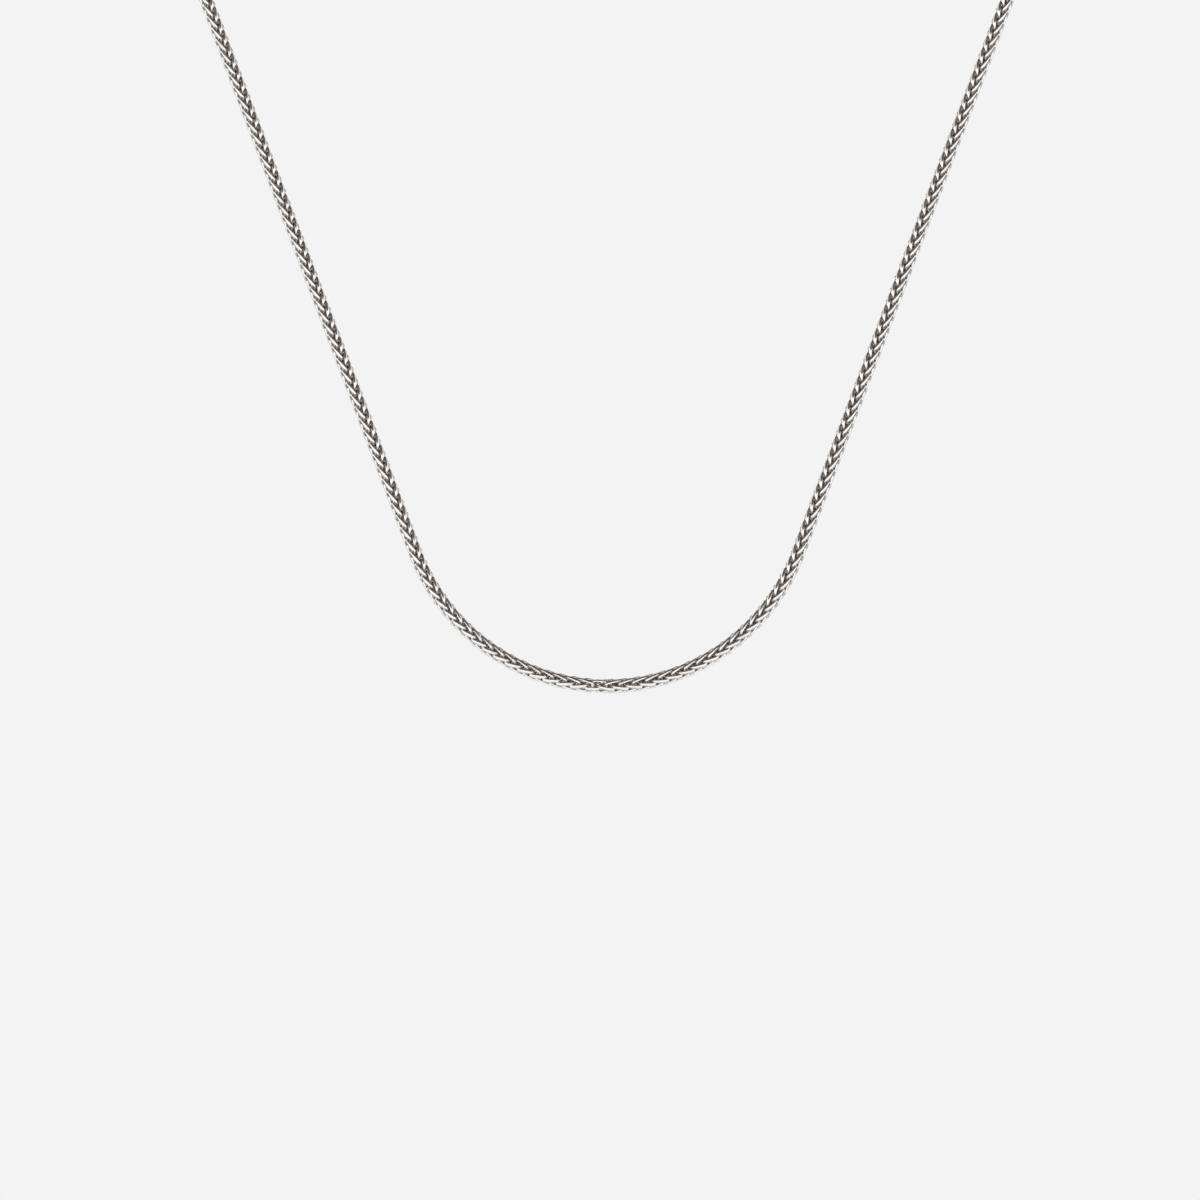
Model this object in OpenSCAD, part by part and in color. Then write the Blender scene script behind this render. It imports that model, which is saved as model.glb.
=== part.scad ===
// Wheat chain necklace: a closed loop held up at the nape, with a plain clasp there.
// The origin is the middle of the clasp. X runs across the neck, the front is towards -Y, Z is up.

/* [Chain] */
// Width across the chain
chain_w = 2; // [1.2:0.1:3]
// Distance between the rings of the swept chain, in chain widths
ring_spacing = 3; // [2:0.5:3]

/* [Front drop] */
// Length of chain in each half of the round bottom
bend_l = 35.5; // [25:0.5:50]
// How the bend opens out towards the sides, where 1 is a plain arc
bend_open = 1.1; // [1:0.1:1.6]
// Angle between a straight side and the middle line, in degrees
side_spread = 20.25; // [12:0.25:28]
// Length of each straight side above the bend
side_l = 88; // [60:1:110]
// How far the drop leans back towards the neck, in degrees
drop_lean = 17; // [0:1:30]

/* [Round the neck] */
// Depth from the top of the straight sides back to the nape
neck_depth = 79; // [60:1:100]
// Height from the top of the straight sides up to the nape
neck_rise = 35; // [20:1:50]
// How strongly the chain keeps its own direction as it leaves each side
side_hold = 38; // [25:1:55]
// How strongly it keeps its direction across the nape, on each side of the clasp
nape_hold = 46; // [30:1:60]

/* [Clasp and end rings] */
// Outside diameter of the clasp's ring
clasp_d = 6.4; // [5:0.1:9]
// Thickness of the clasp's ring
clasp_wire = 1.2; // [0.8:0.1:1.6]
// Outside diameter of the eye on the clasp
eye_d = 2.8; // [2.6:0.1:4]
// Outside diameter of the ring on each end of the chain
end_ring_d = 3.3; // [3:0.1:4.5]
// Wire of the eye and of the end rings
ring_wire = 0.7; // [0.5:0.05:0.8]
// Solder between the clasp's ring and its eye
solder_l = 0.45; // [0.4:0.05:1]
// Diameter of the thumb knob on the clasp
knob_d = 1; // [0.6:0.1:1.1]
// How far the thumb knob stands out of the clasp's ring
knob_l = 0.9; // [0.5:0.1:1.5]
// Gap between linked wires
link_gap = 0.1; // [0.05:0.05:0.2]
// Gap between the chain and its end rings
seat_gap = 0.25; // [0.1:0.05:0.3]

/* [Hidden] */

CHAIN_SIDES = 8;
SMOOTH = 64;
// Short steps between two rings of the sweep, where the bend is summed
STEPS_PER_RING = 8;
// Angle round the clasp's ring from the chain's line up to the thumb knob
KNOB_ANGLE = 50;

ring_step = ring_spacing * chain_w;

// Distances between the middles of the clasp's parts and the rings linked to them
solder_span = clasp_d / 2 - clasp_wire / 2 + solder_l + eye_d / 2 - ring_wire / 2;
eye_to_ring = eye_d / 2 + end_ring_d / 2 - 2 * ring_wire - link_gap;
clasp_to_ring = clasp_d / 2 + end_ring_d / 2 - clasp_wire - ring_wire - link_gap;
ring_to_chain = end_ring_d / 2 + seat_gap;

// Places along X, with both chain ends equally far from the middle
fittings_l = 2 * ring_to_chain + eye_to_ring + solder_span + clasp_to_ring;
chain_end_x = fittings_l / 2;
end_ring_x = chain_end_x - ring_to_chain;
eye_x = eye_to_ring - end_ring_x;
clasp_x = end_ring_x - clasp_to_ring;

// The round bottom, in the plane of the drop: x outwards, y up, from the lowest point
function heading(s) =
    let(turn = (90 - side_spread) * (1 - pow(1 - s / bend_l, bend_open)))
    [cos(turn), sin(turn)];
bend_rings = round(bend_l / ring_step);
bend_steps = bend_rings * STEPS_PER_RING;
bend_step = bend_l / bend_steps;
bend_line = [
    for (i = 0, p = [0, 0]; i <= bend_steps; p = p + bend_step * heading((i + 0.5) * bend_step), i = i + 1) p
];

// The straight side carries on from the bend to the top of the drop
side_rings = floor(side_l / ring_step);
side_dir = [sin(side_spread), cos(side_spread)];
drop_line = concat(
    [for (i = [0 : bend_rings]) bend_line[i * STEPS_PER_RING]],
    [for (i = [1 : side_rings]) bend_line[bend_steps] + side_dir * side_l * i / side_rings]
);
drop_top = drop_line[bend_rings + side_rings];

// From the plane of the drop to the object's frame
function in_frame(p) = [
    p.x,
    -neck_depth - (drop_top.y - p.y) * sin(drop_lean),
    -neck_rise - (drop_top.y - p.y) * cos(drop_lean)
];

// The sweep round the neck is one cubic curve from the top of the drop to the chain's end.
// It is longer than the straight line between them by about SWEEP_BULGE.
sweep_from = in_frame(drop_top);
sweep_from_pull = sweep_from
    + side_hold * [side_dir.x, side_dir.y * sin(drop_lean), side_dir.y * cos(drop_lean)];
sweep_to = [chain_end_x, 0, 0];
sweep_to_pull = sweep_to + [nape_hold, 0, 0];
function sweep_point(t) =
    pow(1 - t, 3) * sweep_from
    + 3 * t * pow(1 - t, 2) * sweep_from_pull
    + 3 * t * t * (1 - t) * sweep_to_pull
    + pow(t, 3) * sweep_to;
SWEEP_BULGE = 1.2;
sweep_rings = round(norm(sweep_to - sweep_from) * SWEEP_BULGE / ring_step);

route = concat(
    [for (p = drop_line) in_frame(p)],
    [for (i = [1 : sweep_rings]) sweep_point(i / sweep_rings)]
);
last = len(route) - 1;

// Directions along the route, with both ends square to the X axis
function unit(v) = v / norm(v);
along = [
    for (i = [0 : last])
        i == 0 ? [1, 0, 0] : i == last ? [-1, 0, 0] : unit(route[i + 1] - route[i - 1])
];
// Each ring takes the last one's normal, turned no more than the route turns
drop_normal = [0, -cos(drop_lean), sin(drop_lean)];
normals = [
    for (i = 0, n = drop_normal; i <= last; i = i + 1, n = i > last ? n : unit(n - (n * along[i]) * along[i])) n
];

module chain_half() {
    corner_r = chain_w / 2;
    points = [
        for (i = [0 : last])
            let(side = cross(along[i], normals[i]))
                for (k = [0 : CHAIN_SIDES - 1])
                    let(a = 360 * (k + 0.5) / CHAIN_SIDES)
                        route[i] + corner_r * (cos(a) * normals[i] + sin(a) * side)
    ];
    walls = [
        for (i = [0 : last - 1])
            for (k = [0 : CHAIN_SIDES - 1])
                let(here = i * CHAIN_SIDES, next = here + CHAIN_SIDES, j = (k + 1) % CHAIN_SIDES)
                    [here + k, next + k, next + j, here + j]
    ];
    first_cap = [for (k = [0 : CHAIN_SIDES - 1]) k];
    last_cap = [for (k = [CHAIN_SIDES - 1 : -1 : 0]) last * CHAIN_SIDES + k];
    polyhedron(points, concat(walls, [first_cap, last_cap]), convexity = 10);
}

module chain_left() {
    color("silver")
        mirror([1, 0, 0])
            chain_half();
}

module chain_right() {
    color("silver")
        chain_half();
}

module wire_ring(outside_d, wire_d) {
    rotate_extrude($fn = SMOOTH)
        translate([(outside_d - wire_d) / 2, 0])
            circle(d = wire_d, $fn = SMOOTH / 2);
}

// The end rings lie flat, across the clasp's ring and eye, which stand against the nape
module end_ring_left() {
    color("silver")
        translate([-end_ring_x, 0, 0])
            wire_ring(end_ring_d, ring_wire);
}

module end_ring_right() {
    color("silver")
        translate([end_ring_x, 0, 0])
            wire_ring(end_ring_d, ring_wire);
}

module clasp() {
    color("silver") {
        translate([clasp_x, 0, 0])
            rotate([90, 0, 0])
                wire_ring(clasp_d, clasp_wire);
        translate([eye_x, 0, 0])
            rotate([90, 0, 0])
                wire_ring(eye_d, ring_wire);
        translate([eye_x + (eye_d - ring_wire) / 2, 0, 0])
            rotate([0, 90, 0])
                cylinder(d = ring_wire, h = solder_l, $fn = SMOOTH);
        translate([clasp_x, 0, 0])
            rotate([0, 90 - KNOB_ANGLE, 0])
                translate([0, 0, (clasp_d - clasp_wire) / 2])
                    cylinder(d = knob_d, h = clasp_wire / 2 + knob_l, $fn = SMOOTH);
    }
}

chain_left();
chain_right();
end_ring_left();
end_ring_right();
clasp();
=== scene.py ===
"""A wheat chain necklace: two woven halves of silver wire, an end ring on each and a clasp.

The chain is woven from two sets of folded wire links, set a quarter turn and half a pitch apart.
Both halves follow the route that the solids follow, and the weave turns round at the lowest point.
Lengths are in metres and angles in radians unless a name says otherwise.
"""

import logging
from dataclasses import dataclass, field
from enum import Enum
from math import atan2, cos, radians, sin
from typing import Mapping, Sequence, Union

import bpy
from mathutils import Matrix, Vector


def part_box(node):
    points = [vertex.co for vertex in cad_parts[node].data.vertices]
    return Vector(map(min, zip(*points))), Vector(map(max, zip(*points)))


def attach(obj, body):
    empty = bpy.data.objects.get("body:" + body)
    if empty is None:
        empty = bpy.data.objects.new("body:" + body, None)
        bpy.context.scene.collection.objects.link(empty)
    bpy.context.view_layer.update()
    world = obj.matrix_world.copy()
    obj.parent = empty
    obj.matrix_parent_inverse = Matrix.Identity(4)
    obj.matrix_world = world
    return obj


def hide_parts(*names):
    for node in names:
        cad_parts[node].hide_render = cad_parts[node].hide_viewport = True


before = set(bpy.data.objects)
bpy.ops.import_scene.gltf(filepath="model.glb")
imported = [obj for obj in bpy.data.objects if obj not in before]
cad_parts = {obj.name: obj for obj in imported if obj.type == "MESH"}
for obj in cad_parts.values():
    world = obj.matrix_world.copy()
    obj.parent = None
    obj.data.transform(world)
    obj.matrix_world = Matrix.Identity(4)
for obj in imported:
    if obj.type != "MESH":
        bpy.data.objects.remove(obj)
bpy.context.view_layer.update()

LOG = logging.getLogger("necklace")
MM = 0.001
Colour = tuple[float, float, float]
Number = Union[float, int, "Value"]
WHITE = (1.0, 1.0, 1.0, 1.0)


class Side(Enum):
    """Which half of the necklace, with the sign of its X."""

    LEFT = -1
    RIGHT = 1

    @property
    def word(self) -> str:
        """The half's name in the names of its pieces."""
        return self.name.lower()


class Weave(Enum):
    """The two sets of links, which are mirror images of each other."""

    OUTER = 0
    INNER = 1


class Bench:
    """Adds nodes to one node tree, of a material, the world or a geometry modifier."""

    # The Mix node's sockets for colours, whose names its other sockets have too.
    MIX_FACTOR, MIX_LOW, MIX_HIGH, MIX_RESULT = 0, 6, 7, 2

    def __init__(self, tree: bpy.types.NodeTree) -> None:
        """Takes the tree that the nodes go into."""
        self.tree = tree

    def add(
        self,
        kind: str,
        settings: Mapping[str, object] | None = None,
        sockets: Mapping[str | int, object] | None = None,
    ) -> bpy.types.Node:
        """Adds one node.

        Args:
            kind: the node's type.
            settings: its properties, which are set first.
            sockets: values or links for its inputs, by name or by number.

        Returns:
            The new node.
        """
        node = self.tree.nodes.new(kind)
        for name, value in (settings or {}).items():
            setattr(node, name, value)
        for name, value in (sockets or {}).items():
            self.feed(node.inputs[name], value)
        return node

    def feed(self, socket: bpy.types.NodeSocket, value: object) -> None:
        """Links a value's socket into this one, or sets this one's own value."""
        if isinstance(value, Value):
            value = value.socket
        if isinstance(value, bpy.types.NodeSocket):
            self.tree.links.new(value, socket)
        elif isinstance(value, tuple) and len(value) == 3 and socket.type == "RGBA":
            socket.default_value = (*value, 1.0)
        else:
            socket.default_value = value

    def value(self, node: bpy.types.Node, output: str | int = 0) -> "Value":
        """Wraps one output of a node for use in an expression."""
        return Value(self, node.outputs[output])

    def mix(self, factor: Number, low: object, high: object) -> "Value":
        """Mixes two colours.

        Args:
            factor: 0 for the first colour, 1 for the second.
            low: the first colour, as three numbers or a link.
            high: the second colour.

        Returns:
            The mixed colour.
        """
        sockets = {self.MIX_FACTOR: factor, self.MIX_LOW: low, self.MIX_HIGH: high}
        node = self.add("ShaderNodeMix", {"data_type": "RGBA"}, sockets)
        return self.value(node, self.MIX_RESULT)

    def noise(self, place: "Value", scale: float, detail: float = 2.0) -> "Value":
        """Adds a noise pattern.

        Args:
            place: the coordinates that it reads.
            scale: its scale.
            detail: the number of its finer layers.

        Returns:
            The pattern, from 0 to 1.
        """
        sockets = {"Vector": place, "Scale": scale, "Detail": detail}
        return self.value(self.add("ShaderNodeTexNoise", None, sockets))


class Value:
    """A number in a node tree. Sums and products of values add their Math nodes."""

    WHOLE_NUMBER_MARGIN = 0.5

    def __init__(self, bench: Bench, socket: bpy.types.NodeSocket) -> None:
        """Wraps one output socket."""
        self.bench = bench
        self.socket = socket

    def _math(self, operation: str, *operands: Number) -> "Value":
        """Adds a Math node that works on these operands."""
        sockets = dict(enumerate(operands))
        return self.bench.value(self.bench.add("ShaderNodeMath", {"operation": operation}, sockets))

    def __add__(self, other: Number) -> "Value":
        """self + other."""
        return self._math("ADD", self, other)

    def __radd__(self, other: Number) -> "Value":
        """other + self."""
        return self._math("ADD", other, self)

    def __sub__(self, other: Number) -> "Value":
        """self - other."""
        return self._math("SUBTRACT", self, other)

    def __rsub__(self, other: Number) -> "Value":
        """other - self."""
        return self._math("SUBTRACT", other, self)

    def __mul__(self, other: Number) -> "Value":
        """self * other."""
        return self._math("MULTIPLY", self, other)

    def __rmul__(self, other: Number) -> "Value":
        """other * self."""
        return self._math("MULTIPLY", other, self)

    def __mod__(self, other: Number) -> "Value":
        """self % other."""
        return self._math("MODULO", self, other)

    def same_as(self, other: Number) -> "Value":
        """1 where this is the other whole number, and 0 elsewhere."""
        return self._math("COMPARE", self, other, self.WHOLE_NUMBER_MARGIN)

    def rise(self, low: float, high: float) -> "Value":
        """A smooth step.

        Args:
            low: where the step is still 0.
            high: where it has reached 1.

        Returns:
            The step, from 0 to 1.
        """
        node = self.bench.add(
            "ShaderNodeMapRange",
            {"interpolation_type": "SMOOTHSTEP"},
            {"Value": self, "From Min": low, "From Max": high},
        )
        return self.bench.value(node)


@dataclass(frozen=True)
class WornSilver:
    """Polished silver wire with tarnished clouds and, where asked, painted shade darkening its
    recesses.
    """

    name: str
    silver: Colour
    # the colour of the tarnished clouds, and also of the painted shade in the recesses
    tarnish: Colour
    roughness: float
    cloud_scale: float
    scratch_scale: float
    scratch_depth: float
    cloud_from_to: tuple[float, float] = (0.45, 0.75)
    cloud_share: float = 0.12
    cloud_detail: float = 3.0
    scratch_detail: float = 4.0
    scratch_strength: float = 0.35
    roughness_spread: float = 0.07
    tarnish_roughness: float = 0.2
    tarnish_matt: float = 0.6
    # where the painted recess shade is full (deep) and where it is gone (proud), as shares of the
    # outer radius
    deep: float = 0.35
    proud: float = 0.75
    # darkens the recesses with painted shade, by how far out the wire stands (REACH)
    has_recess: bool = False

    def make(self) -> bpy.types.Material:
        """Builds the material.

        Returns:
            Metal whose tone, gloss and fine scratches change over the surface, with painted recess
            shade if asked.
        """
        material = bpy.data.materials.new(self.name)
        material.use_nodes = True
        bench = Bench(material.node_tree)
        shader = material.node_tree.nodes["Principled BSDF"]
        place = bench.value(bench.add("ShaderNodeTexCoord"), "Object")
        cloud = bench.noise(place, self.cloud_scale, self.cloud_detail)
        unshaded_untarnished = 1.0 - cloud.rise(*self.cloud_from_to) * self.cloud_share
        # Painted shade: the wire is darkened towards the same brown where it stands less far out,
        # in the recesses between wires.
        if self.has_recess:
            reach = bench.add("ShaderNodeAttribute", {"attribute_name": BentWire.REACH})
            unshaded_untarnished = unshaded_untarnished * bench.value(reach, "Fac").rise(self.deep, self.proud)
        bench.feed(shader.inputs["Base Color"], bench.mix(unshaded_untarnished, self.tarnish, self.silver))
        bench.feed(
            shader.inputs["Roughness"],
            self.roughness + (1.0 - unshaded_untarnished) * self.tarnish_roughness + cloud * self.roughness_spread,
        )
        # The tarnished clouds and the painted recess shade are also made less metallic.
        bench.feed(shader.inputs["Metallic"], 1.0 - (1.0 - unshaded_untarnished) * self.tarnish_matt)
        bump = bench.add(
            "ShaderNodeBump",
            None,
            {
                "Strength": self.scratch_strength,
                "Distance": self.scratch_depth,
                "Height": bench.noise(place, self.scratch_scale, self.scratch_detail),
            },
        )
        bench.feed(shader.inputs["Normal"], bench.value(bump))
        return material


@dataclass(frozen=True)
class PaleBoard:
    """A matt pale board with a faint mottle. A faint glow lifts it to the backdrop's tone."""

    name: str = "pale_board"
    light: Colour = (0.93, 0.93, 0.93)
    shade: Colour = (0.90, 0.90, 0.90)
    mottle_scale: float = 40.0
    roughness: float = 0.9
    glow: float = 0.08

    def make(self) -> bpy.types.Material:
        """Builds the floor's material."""
        material = bpy.data.materials.new(self.name)
        material.use_nodes = True
        bench = Bench(material.node_tree)
        shader = material.node_tree.nodes["Principled BSDF"]
        place = bench.value(bench.add("ShaderNodeTexCoord"), "Object")
        mottle = bench.noise(place, self.mottle_scale)
        bench.feed(shader.inputs["Base Color"], bench.mix(mottle, self.shade, self.light))
        shader.inputs["Roughness"].default_value = self.roughness
        shader.inputs["Emission Color"].default_value = WHITE
        shader.inputs["Emission Strength"].default_value = self.glow
        return material


@dataclass(frozen=True)
class NeckRoute:
    """The way of one half of the chain, from the lowest point round the neck to its end ring."""

    side: Side
    chain_end_x: float
    bend_l: float = 35.5 * MM
    bend_open: float = 1.1
    side_spread: float = radians(20.25)
    side_l: float = 88 * MM
    drop_lean: float = radians(17)
    neck_depth: float = 79 * MM
    neck_rise: float = 35 * MM
    side_hold: float = 38 * MM
    nape_hold: float = 46 * MM
    bend_steps: int = 48
    side_steps: int = 60
    sweep_steps: int = 160
    steps_past_lowest: int = 5

    def _heading(self, along: float) -> Vector:
        """The bend's direction in the plane of the drop, so far along it from the lowest point."""
        turn = (radians(90) - self.side_spread) * (1 - (1 - along / self.bend_l) ** self.bend_open)
        return Vector((cos(turn), sin(turn)))

    def _drop(self) -> list[Vector]:
        """The bend and the straight side in the plane of the drop: x outwards, y up."""
        step = self.bend_l / self.bend_steps
        line = [Vector((0.0, 0.0))]
        for i in range(self.bend_steps):
            line.append(line[-1] + step * self._heading((i + 0.5) * step))
        bend_end = line[-1]
        for i in range(1, self.side_steps + 1):
            line.append(bend_end + self._side_direction() * self.side_l * i / self.side_steps)
        return line

    def _side_direction(self) -> Vector:
        """The direction of the straight side in the plane of the drop."""
        return Vector((sin(self.side_spread), cos(self.side_spread)))

    def points_from(self, start: float) -> list[Vector]:
        """The route from some way along it.

        Args:
            start: the distance from the lowest point, which is below zero on the other half's side.

        Returns:
            Points from there to the chain's end.
        """
        own = self.points()
        past = own[1 : self.steps_past_lowest + 1]
        line = [Vector((-p.x, p.y, p.z)) for p in reversed(past)] + own
        walked = -sum((b - a).length for a, b in zip(own, past))
        i = 0
        while walked < start:
            walked += (line[i + 1] - line[i]).length
            i += 1
        step = (line[i] - line[i - 1]).normalized()
        return [line[i] - step * (walked - start), *line[i:]]

    def points(self) -> list[Vector]:
        """The whole route.

        Returns:
            Points from the lowest one to the chain's end, on this half's own side.
        """
        lean = self.drop_lean
        drop = self._drop()
        top = drop[-1]
        route = []
        for p in drop:
            down = top.y - p.y
            y = -self.neck_depth - down * sin(lean)
            z = -self.neck_rise - down * cos(lean)
            route.append(Vector((p.x, y, z)))
        leave = self._side_direction()
        onward = Vector((leave.x, leave.y * sin(lean), leave.y * cos(lean)))
        pulls = [
            route[-1],
            route[-1] + self.side_hold * onward,
            Vector((self.chain_end_x + self.nape_hold, 0.0, 0.0)),
            Vector((self.chain_end_x, 0.0, 0.0)),
        ]
        for i in range(1, self.sweep_steps + 1):
            t = i / self.sweep_steps
            shares = ((1 - t) ** 3, 3 * t * (1 - t) ** 2, 3 * t * t * (1 - t), t**3)
            route.append(sum((share * pull for share, pull in zip(shares, pulls)), Vector()))
        return [Vector((self.side.value * p.x, p.y, p.z)) for p in route]


@dataclass(frozen=True)
class WheatLink:
    """One link: a closed loop of wire, folded in two, whose arms cross and end in two eyes.

    Half of the loop goes from the fold up one wire of an arm, round its eye and back down the other
    wire. The other half is the same after half a turn about the chain's middle line.
    """

    TURN = (
        # across and aside as shares of the chain's half width, along as a share of the pitch,
        # breadth of the flattened wire as a multiple of its thickness
        (-0.30, 0.35, 0.00, 1.0),
        (0.35, 0.05, 0.10, 1.0),
        (0.80, -0.40, 0.65, 2.0),
        (0.65, -0.55, 1.10, 1.5),
        (0.10, -0.25, 1.40, 1.0),
        (0.20, 0.25, 1.35, 1.0),
        (0.75, 0.35, 1.05, 1.8),
        (0.85, 0.05, 0.45, 2.4),
        (0.80, -0.15, 0.10, 2.3),
    )

    half_width: float = 1.0 * MM
    pitch: float = 1.88 * MM
    wire: float = 0.29 * MM
    wire_sides: int = 5

    @property
    def length(self) -> float:
        """The length from the fold to the eyes."""
        return max(row[2] for row in self.TURN) * self.pitch

    @property
    def bent_wire(self) -> "BentWire":
        """The wire that the link is bent from."""
        return BentWire(self.wire, self.wire_sides, self.half_width)

    def build(self, weave: Weave, side: Side) -> bpy.types.Object:
        """Makes one link with its fold at the origin and its eyes towards the start of the route.

        Args:
            weave: the set of links. The inner set is the outer one mirrored about the diagonal.
            side: the half of the necklace. The left half is the mirror image of the right one.

        Returns:
            The link's object.
        """
        loop = []
        for turn in (1, -1):
            for across, aside, along, breadth in self.TURN:
                x, y = turn * across * self.half_width, turn * aside * self.half_width
                if weave is Weave.INNER:
                    x, y = y, x
                loop.append((Vector((x, -side.value * y, -along * self.pitch)), breadth))
        return self.bent_wire.build(f"{weave.name.lower()}_link_{side.word}", [loop])


@dataclass(frozen=True)
class BentWire:
    """Wire bent along closed loops round the Z axis, and pressed flat where it stands out."""

    REACH = "reach"

    thickness: float
    sides: int
    outer_radius: float
    crown: float = 0.05
    edge_angle: float = radians(120)

    def build(self, name: str, loops: Sequence[Sequence[tuple[Vector, float]]]) -> bpy.types.Object:
        """Makes the wires.

        Args:
            name: the object's name.
            loops: the points of each closed loop, with the wire's breadth there in thicknesses.

        Returns:
            The object. REACH keeps how far out each point stands, as a share of outer_radius.
        """
        points, faces = [], []
        for loop in loops:
            start, count = len(points), len(loop)
            for i in range(count):
                points += self._ring(loop[i - 1][0], *loop[i], loop[(i + 1) % count][0])
                for k in range(self.sides):
                    here, there = start + i * self.sides, start + (i + 1) % count * self.sides
                    after = (k + 1) % self.sides
                    faces.append((here + k, here + after, there + after, there + k))
        mesh = bpy.data.meshes.new(name)
        mesh.from_pydata(points, [], faces)
        mesh.shade_smooth()
        mesh.set_sharp_from_angle(angle=self.edge_angle)
        reach = mesh.attributes.new(self.REACH, "FLOAT", "POINT")
        reach.data.foreach_set("value", [Vector(p[:2]).length / self.outer_radius for p in points])
        wires = bpy.data.objects.new(name, mesh)
        bpy.context.scene.collection.objects.link(wires)
        return wires

    def _ring(self, before: Vector, here: Vector, breadth: float, after: Vector) -> list[Vector]:
        """One section of the wire, with a corner outwards, pressed back within the outer radius."""
        along = ((here - before).normalized() + (after - here).normalized()).normalized()
        outward = Vector((here.x, here.y, 0.0))
        outward = (outward - outward.dot(along) * along).normalized()
        aside = along.cross(outward)
        ring = []
        for k in range(self.sides):
            turn = radians(360 * k / self.sides)
            point = here + self.thickness / 2 * (cos(turn) * outward + sin(turn) * breadth * aside)
            out = Vector((point.x, point.y)).length
            highest = self.outer_radius * (1 - self.crown * abs(sin(turn)))
            press = min(1.0, highest / out)
            ring.append(Vector((point.x * press, point.y * press, point.z)))
        return ring


@dataclass(frozen=True)
class JoiningRings:
    """Two oval rings, a quarter turn and half a pitch apart, that join the halves' first eyes."""

    link: WheatLink
    corners: int = 12
    squareness: float = 0.7
    side_breadth: float = 2.2

    def build(self, middle: Vector, along: Vector, arms: Vector) -> bpy.types.Object:
        """Makes both rings.

        Args:
            middle: where the two halves meet.
            along: the chain's direction there, towards the half whose outer link comes first.
            arms: the direction of the outer links' arms.

        Returns:
            The rings' object, in place.
        """
        pitch, eye = self.link.pitch, self.link.length - self.link.pitch
        # Each ring reaches a quarter of the pitch past the eyes that it joins.
        half_l = eye + pitch / 4
        reach = self.link.half_width - self.link.wire / 2
        loops = []
        for weave in Weave:
            loop = []
            for k in range(self.corners):
                turn = radians(360 * (k + 0.5) / self.corners)
                out = reach * self._squared(cos(turn))
                z = half_l * self._squared(sin(turn)) + (weave.value - 0.5) * pitch / 2
                point = Vector((out, 0.0, z) if weave is Weave.OUTER else (0.0, out, z))
                loop.append((point, 1 + (self.side_breadth - 1) * cos(turn) ** 2))
            loops.append(loop)
        rings = self.link.bent_wire.build("joining_rings", loops)
        frame_here = Matrix((arms, along.cross(arms), along)).transposed().to_4x4()
        rings.data.transform(Matrix.Translation(middle) @ frame_here)
        return rings

    def _squared(self, share: float) -> float:
        """Pushes a share between -1 and 1 outwards, so that an oval gets straighter sides."""
        return (1 if share > 0 else -1) * abs(share) ** self.squareness


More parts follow.
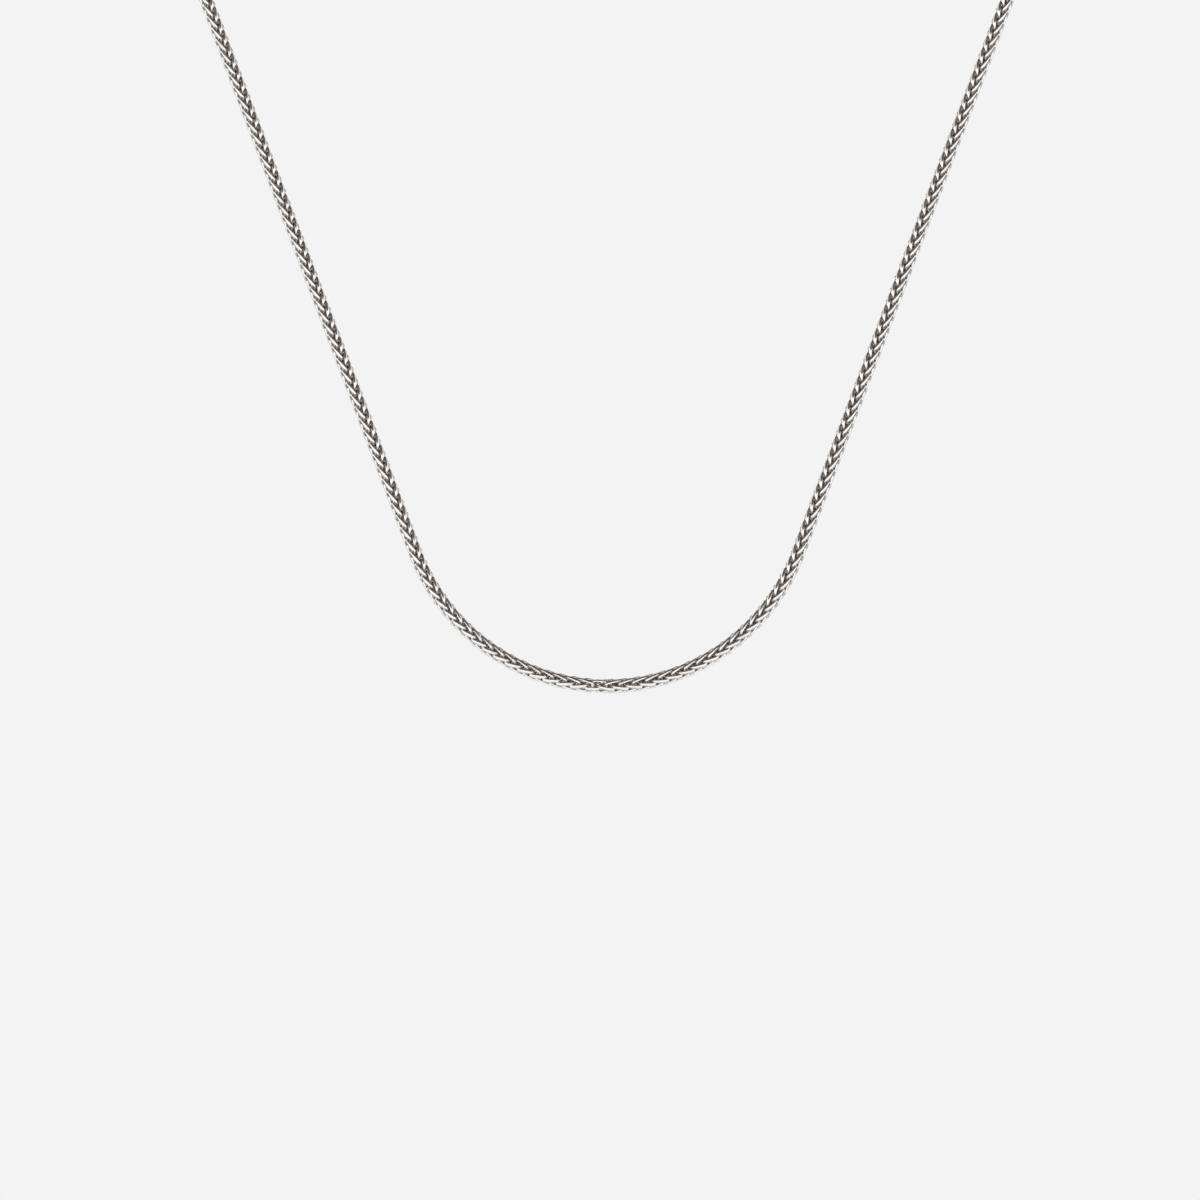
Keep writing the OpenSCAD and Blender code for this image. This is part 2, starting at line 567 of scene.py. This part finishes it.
@dataclass
class WheatChainHalf:
    """One half of the chain, woven along its route."""

    TO_VIEWER = Vector((0.0, -1.0, 0.0))

    side: Side
    route: NeckRoute
    link: WheatLink
    hook_x: float
    first: Weave
    meeting_x: float
    outer_angle: float = radians(32)
    end_slide: float = 0.17 * MM

    @property
    def name(self) -> str:
        """The piece's name."""
        return f"wheat_chain_{self.side.word}"

    def build(self, finish: bpy.types.Material) -> bpy.types.Object:
        """Weaves this half.

        Args:
            finish: the chain's material.

        Returns:
            One joined mesh, at the origin.
        """
        guide = self._guide()
        outer = self.link.build(Weave.OUTER, self.side)
        inner = self.link.build(Weave.INNER, self.side)
        helpers = [guide, outer, inner]
        rings = None
        if self.first is Weave.OUTER:
            rings = self._joining_rings()
            helpers.append(rings)
        sizes = {
            "Outer link": outer,
            "Inner link": inner,
            "First link": self.first.value,
            "Links": self.link_count(),
            "End slide": self.end_slide,
            "Joining rings": rings,
            "Finish": finish,
        }
        tree = WeaveTree().make()
        modifier = guide.modifiers.new("weave", "NODES")
        modifier.node_group = tree
        for item in tree.interface.items_tree:
            if item.item_type == "SOCKET" and item.name in sizes:
                modifier[item.identifier] = sizes[item.name]
        bpy.context.view_layer.update()
        woven = guide.evaluated_get(bpy.context.evaluated_depsgraph_get())
        mesh = bpy.data.meshes.new_from_object(woven)
        mesh.name = self.name
        piece = bpy.data.objects.new(self.name, mesh)
        bpy.context.scene.collection.objects.link(piece)
        for helper in helpers:
            bpy.data.objects.remove(helper)
        return piece

    def _joining_rings(self) -> bpy.types.Object:
        """The rings at the place where this half meets the other one."""
        line = self.route.points_from(self.side.value * self.meeting_x)
        along = (line[2] - line[0]).normalized()
        front, outward = self._across(along, self.TO_VIEWER)
        arms = front * cos(self.outer_angle) + outward * sin(self.outer_angle)
        return JoiningRings(self.link).build(line[0], along, arms)

    def link_count(self) -> int:
        """The number of links, such that the last one belongs to the outer set."""
        line = self._line()
        length = sum((b - a).length for a, b in zip(line, line[1:]))
        extra = 1 if self.first is Weave.OUTER else 0
        return len(Weave) * round(length / self.link.pitch) + extra

    def _line(self) -> list[Vector]:
        """The part of the route that has links: from the first fold to the fold in the end ring."""
        start = self.side.value * self.meeting_x + self.link.length
        last = Vector((self.side.value * (self.hook_x + self.end_slide), 0.0, 0.0))
        return [*self.route.points_from(start), last]

    def _across(self, along: Vector, wanted: Vector) -> tuple[Vector, Vector]:
        """The direction across the chain that is nearest to the wanted one, and the outward one."""
        front = (wanted - wanted.dot(along) * along).normalized()
        return front, along.cross(front) * self.side.value

    def _fronts(self, line: Sequence[Vector]) -> list[tuple[Vector, Vector]]:
        """The front and the outward direction at each point.

        Args:
            line: the points along the chain.

        Returns:
            Directions that face the viewer along the drop, and past it turn no more than the route.
        """
        drop_end = len(line) - self.route.sweep_steps
        wanted = self.TO_VIEWER
        pairs = []
        for i in range(len(line)):
            along = (line[min(i + 1, len(line) - 1)] - line[max(i - 1, 0)]).normalized()
            pairs.append(self._across(along, wanted))
            if i >= drop_end:
                wanted = pairs[-1][0]
        return pairs

    def _guide(self) -> bpy.types.Object:
        """The route as a line of edges, with the direction that the outer links' arms point to."""
        line = self._line()
        pairs = self._fronts(line)
        twist = self._nape_twist(*pairs[-1])
        facings = []
        for i, (front, outward) in enumerate(pairs):
            # The twist comes in over the second half of the line, gently at both ends.
            share = max(0.0, 2 * i / (len(line) - 1) - 1)
            eased = share * share * (3 - 2 * share)
            roll = self.outer_angle + twist * eased
            facings.append(front * cos(roll) + outward * sin(roll))
        mesh = bpy.data.meshes.new(f"{self.name}_guide")
        mesh.from_pydata(line, [(i, i + 1) for i in range(len(line) - 1)], [])
        facing = mesh.attributes.new(WeaveTree.FACING, "FLOAT_VECTOR", "POINT")
        facing.data.foreach_set("vector", [x for f in facings for x in f])
        guide = bpy.data.objects.new(mesh.name, mesh)
        bpy.context.scene.collection.objects.link(guide)
        return guide

    def _nape_twist(self, front: Vector, outward: Vector) -> float:
        """The hidden stretch's turn, which sets the last link's arms above and below its ring."""
        now = front * cos(self.outer_angle) + outward * sin(self.outer_angle)
        aside = outward * cos(self.outer_angle) - front * sin(self.outer_angle)
        angle = atan2(aside.z, now.z)
        return (angle + radians(90)) % radians(180) - radians(90)


class WeaveTree:
    """The geometry nodes that set links along a route, from two sets by turns."""

    FACING = "facing"
    INPUTS = (
        ("Route", "NodeSocketGeometry"),
        ("Outer link", "NodeSocketObject"),
        ("Inner link", "NodeSocketObject"),
        ("First link", "NodeSocketInt"),
        ("Links", "NodeSocketInt"),
        ("End slide", "NodeSocketFloat"),
        ("Joining rings", "NodeSocketObject"),
        ("Finish", "NodeSocketMaterial"),
    )

    def make(self) -> bpy.types.NodeTree:
        """Builds the tree.

        Returns:
            A geometry node group with the inputs that INPUTS names.
        """
        tree = bpy.data.node_groups.new("wheat_weave", "GeometryNodeTree")
        for name, kind in self.INPUTS:
            tree.interface.new_socket(name, in_out="INPUT", socket_type=kind)
        tree.interface.new_socket("Chain", in_out="OUTPUT", socket_type="NodeSocketGeometry")
        self.bench = Bench(tree)
        self.given = self.bench.add("NodeGroupInput").outputs
        whole = self.bench.add("GeometryNodeJoinGeometry")
        self.bench.feed(whole.inputs[0], self._set_links(self._places(), self._link_pair()))
        self.bench.feed(whole.inputs[0], self._object("Joining rings"))
        chain = self.bench.add("GeometryNodeRealizeInstances", None, {0: whole.outputs[0]})
        dressed = self.bench.add(
            "GeometryNodeSetMaterial", None, {0: chain.outputs[0], "Material": self.given["Finish"]}
        )
        self.bench.add("NodeGroupOutput", None, {0: dressed.outputs[0]})
        return tree

    def _object(self, name: str, as_instance: bool = False) -> bpy.types.NodeSocket:
        """The geometry of the object that this input names."""
        sockets = {"Object": self.given[name], "As Instance": as_instance}
        return self.bench.add("GeometryNodeObjectInfo", None, sockets).outputs["Geometry"]

    def _link_pair(self) -> bpy.types.NodeSocket:
        """The two links as instances. The join puts the one that is linked last first."""
        pair = self.bench.add("GeometryNodeJoinGeometry")
        for name in ("Inner link", "Outer link"):
            self.bench.feed(pair.inputs[0], self._object(name, as_instance=True))
        return pair.outputs[0]

    def _places(self) -> bpy.types.Node:
        """Even points along the route."""
        line = self.bench.add("GeometryNodeMeshToCurve", None, {0: self.given["Route"]})
        sockets = {0: line.outputs[0], "Count": self.given["Links"]}
        return self.bench.add("GeometryNodeCurveToPoints", {"mode": "COUNT"}, sockets)

    def _set_links(
        self, places: bpy.types.Node, links: bpy.types.NodeSocket
    ) -> bpy.types.NodeSocket:
        """Sets the links on the places by turns, and slides the last one out into its end ring.

        Args:
            places: the node that gives the places, with their tangents.
            links: the pair of links as instances.

        Returns:
            The links in place, as instances.
        """
        bench = self.bench
        tangent = places.outputs["Tangent"]
        index = bench.value(bench.add("GeometryNodeInputIndex"))
        is_last = index.same_as(Value(bench, self.given["Links"]) - 1)
        slide = bench.add(
            "ShaderNodeVectorMath",
            {"operation": "SCALE"},
            {0: tangent, "Scale": is_last * Value(bench, self.given["End slide"])},
        )
        slid = bench.add(
            "GeometryNodeSetPosition", None, {0: places.outputs[0], "Offset": slide.outputs[0]}
        )
        facing = bench.add(
            "GeometryNodeInputNamedAttribute", {"data_type": "FLOAT_VECTOR"}, {"Name": self.FACING}
        )
        turn = bench.add(
            "FunctionNodeAxesToRotation",
            {"primary_axis": "Z", "secondary_axis": "X"},
            {"Primary Axis": tangent, "Secondary Axis": facing.outputs[0]},
        )
        placed = bench.add(
            "GeometryNodeInstanceOnPoints",
            None,
            {
                "Points": slid.outputs[0],
                "Instance": links,
                "Pick Instance": True,
                "Instance Index": (index + Value(bench, self.given["First link"])) % len(Weave),
                "Rotation": turn.outputs[0],
            },
        )
        return placed.outputs[0]


@dataclass(frozen=True)
class Fittings:
    """The end rings and the clasp, which keep their solids and get a finish."""

    ring_finish: WornSilver
    clasp_finish: WornSilver
    rings: tuple[str, ...] = ("end_ring_left", "end_ring_right")
    clasp: str = "clasp"

    def dress(self) -> None:
        """Gives each fitting its metal."""
        ring_metal = self.ring_finish.make()
        for name in self.rings:
            self._dress_one(name, ring_metal)
        self._dress_one(self.clasp, self.clasp_finish.make())

    @staticmethod
    def _dress_one(name: str, metal: bpy.types.Material) -> None:
        """Puts one metal on one solid."""
        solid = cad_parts[name]
        solid.data.materials.clear()
        solid.data.materials.append(metal)
        LOG.info("dressed %s in %s", name, metal.name)


@dataclass(frozen=True)
class Studio:
    """The floor, the light and the camera."""

    floor_z: float
    target: Vector
    pale: Colour = (0.896, 0.896, 0.896)
    low_white: Colour = (1.1, 1.1, 1.1)
    high_brown: Colour = (0.12, 0.095, 0.08)
    low_grey: Colour = (0.26, 0.27, 0.29)
    brown_height: tuple[float, float] = (0.3, 0.48)
    grey_height: tuple[float, float] = (-0.1, 0.02)
    grey_depth: tuple[float, float] = (0.15, 0.45)
    floor_radius: float = 0.3
    floor_sides: int = 96
    camera_distance: float = 0.94
    camera_drop: Vector = field(default_factory=lambda: Vector((-0.00094, 0.0, 0.01184)))
    lens_mm: float = 204.75
    clip_from_to: tuple[float, float] = (0.05, 20.0)

    def build(self) -> None:
        """Sets up the studio."""
        self._floor()
        self._world()
        self._camera()
        LOG.info("set the studio")

    def _floor(self) -> None:
        """Lays a pale round board under the necklace."""
        middle = Vector((self.target.x, self.target.y / 2, self.floor_z))
        rim = []
        for k in range(self.floor_sides):
            turn = radians(360 * k / self.floor_sides)
            rim.append(middle + self.floor_radius * Vector((cos(turn), sin(turn), 0.0)))
        mesh = bpy.data.meshes.new("floor")
        mesh.from_pydata(rim, [], [tuple(range(self.floor_sides))])
        mesh.materials.append(PaleBoard().make())
        floor = bpy.data.objects.new("floor", mesh)
        bpy.context.scene.collection.objects.link(floor)

    def _world(self) -> None:
        """Surrounds the necklace with soft light.

        The metal sees it white below, brown above and grey low at the back.
        """
        world = bpy.data.worlds.new("studio")
        bpy.context.scene.world = world
        world.use_nodes = True
        bench = Bench(world.node_tree)
        background = world.node_tree.nodes["Background"]
        way = bench.add("ShaderNodeTexCoord").outputs["Generated"]
        parts = bench.add("ShaderNodeSeparateXYZ", None, {0: way})
        height, depth = bench.value(parts, "Z"), bench.value(parts, "Y")
        low_back = depth.rise(*self.grey_depth) * (1.0 - height.rise(*self.grey_height))
        low = bench.mix(low_back, self.low_white, self.low_grey)
        seen_by_metal = bench.mix(height.rise(*self.brown_height), low, self.high_brown)
        is_glossy = bench.value(bench.add("ShaderNodeLightPath"), "Is Glossy Ray")
        bench.feed(background.inputs["Color"], bench.mix(is_glossy, self.pale, seen_by_metal))

    def _camera(self) -> None:
        """Sets the camera level, in front of the lowest point."""
        data = bpy.data.cameras.new("camera")
        data.lens = self.lens_mm
        data.clip_start, data.clip_end = self.clip_from_to
        camera = bpy.data.objects.new("camera", data)
        camera.location = self.target + self.camera_drop + Vector((0.0, -self.camera_distance, 0.0))
        camera.rotation_euler = (radians(90), 0.0, 0.0)
        bpy.context.scene.collection.objects.link(camera)
        bpy.context.scene.camera = camera
        bpy.context.scene.view_settings.view_transform = "Standard"


def main() -> None:
    """Builds and dresses the necklace, then sets the studio round it."""
    logging.basicConfig(level=logging.INFO, format="%(name)s: %(message)s")
    ring_low, ring_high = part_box("end_ring_right")
    ring_wire = ring_high.z - ring_low.z
    seat_gap = 0.25 * MM
    chain_end_x = ring_high.x + seat_gap
    hook_gap = 0.04 * MM
    link = WheatLink()
    chain_finish = WornSilver(
        name="worn_chain_silver",
        silver=(0.93, 0.92, 0.90),
        # brown for the tarnished clouds and for the painted shade in the chain's recesses
        tarnish=(0.34, 0.27, 0.22),
        roughness=0.1,
        cloud_scale=420.0,
        scratch_scale=9000.0,
        scratch_depth=0.004 * MM,
        # paints shade into the recesses between the wires
        has_recess=True,
    ).make()
    for side in Side:
        half = WheatChainHalf(
            side=side,
            route=NeckRoute(side, chain_end_x),
            link=link,
            hook_x=ring_high.x - ring_wire - link.wire / 2 - hook_gap,
            first=Weave.OUTER if side is Side.RIGHT else Weave.INNER,
            meeting_x=-1.5 * MM,
        )
        piece = half.build(chain_finish)
        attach(piece, "root")
        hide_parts(f"chain_{side.word}")
        faces = len(piece.data.polygons)
        LOG.info("wove %s: %d links, %d faces", piece.name, half.link_count(), faces)
    Fittings(
        ring_finish=WornSilver(
            name="worn_ring_silver",
            silver=(0.92, 0.91, 0.89),
            tarnish=(0.55, 0.50, 0.44),
            roughness=0.14,
            cloud_scale=500.0,
            scratch_scale=7000.0,
            scratch_depth=0.006 * MM,
        ),
        clasp_finish=WornSilver(
            name="worn_clasp_silver",
            silver=(0.90, 0.89, 0.87),
            tarnish=(0.50, 0.46, 0.41),
            roughness=0.16,
            cloud_scale=300.0,
            scratch_scale=5000.0,
            scratch_depth=0.008 * MM,
        ),
    ).dress()
    lowest = NeckRoute(Side.RIGHT, chain_end_x).points()[0]
    Studio(floor_z=-0.26, target=lowest).build()


if __name__ == "__main__":
    main()
